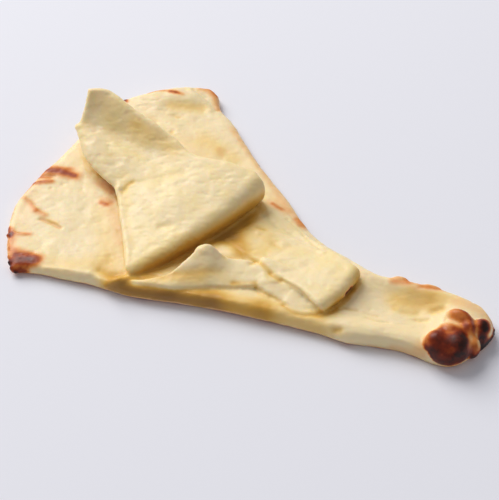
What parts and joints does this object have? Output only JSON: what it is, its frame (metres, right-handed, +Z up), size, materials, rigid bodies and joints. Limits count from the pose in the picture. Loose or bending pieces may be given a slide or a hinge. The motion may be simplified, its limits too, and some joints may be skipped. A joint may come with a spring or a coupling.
{
  "type": "naan bread",
  "caption": "Long baked naan flatbread folded over on itself, with a wide end, a raised corner flap, a fold in the middle and a dark curled tip.",
  "frame": {"origin": "centre of the footprint on the surface that the bread rests on", "axes": "+X from the wide end to the narrow curled tip, +Y from the long side with the folded lip to the other long side, +Z up"},
  "size_m": [0.3256, 0.2146, 0.0445],
  "materials": {
    "bread": "pale baked dough, slightly buttery, with browned and charred blisters"
  },
  "bodies": {
    "root": {"naan": "bread"}
  },
  "joints": []
}
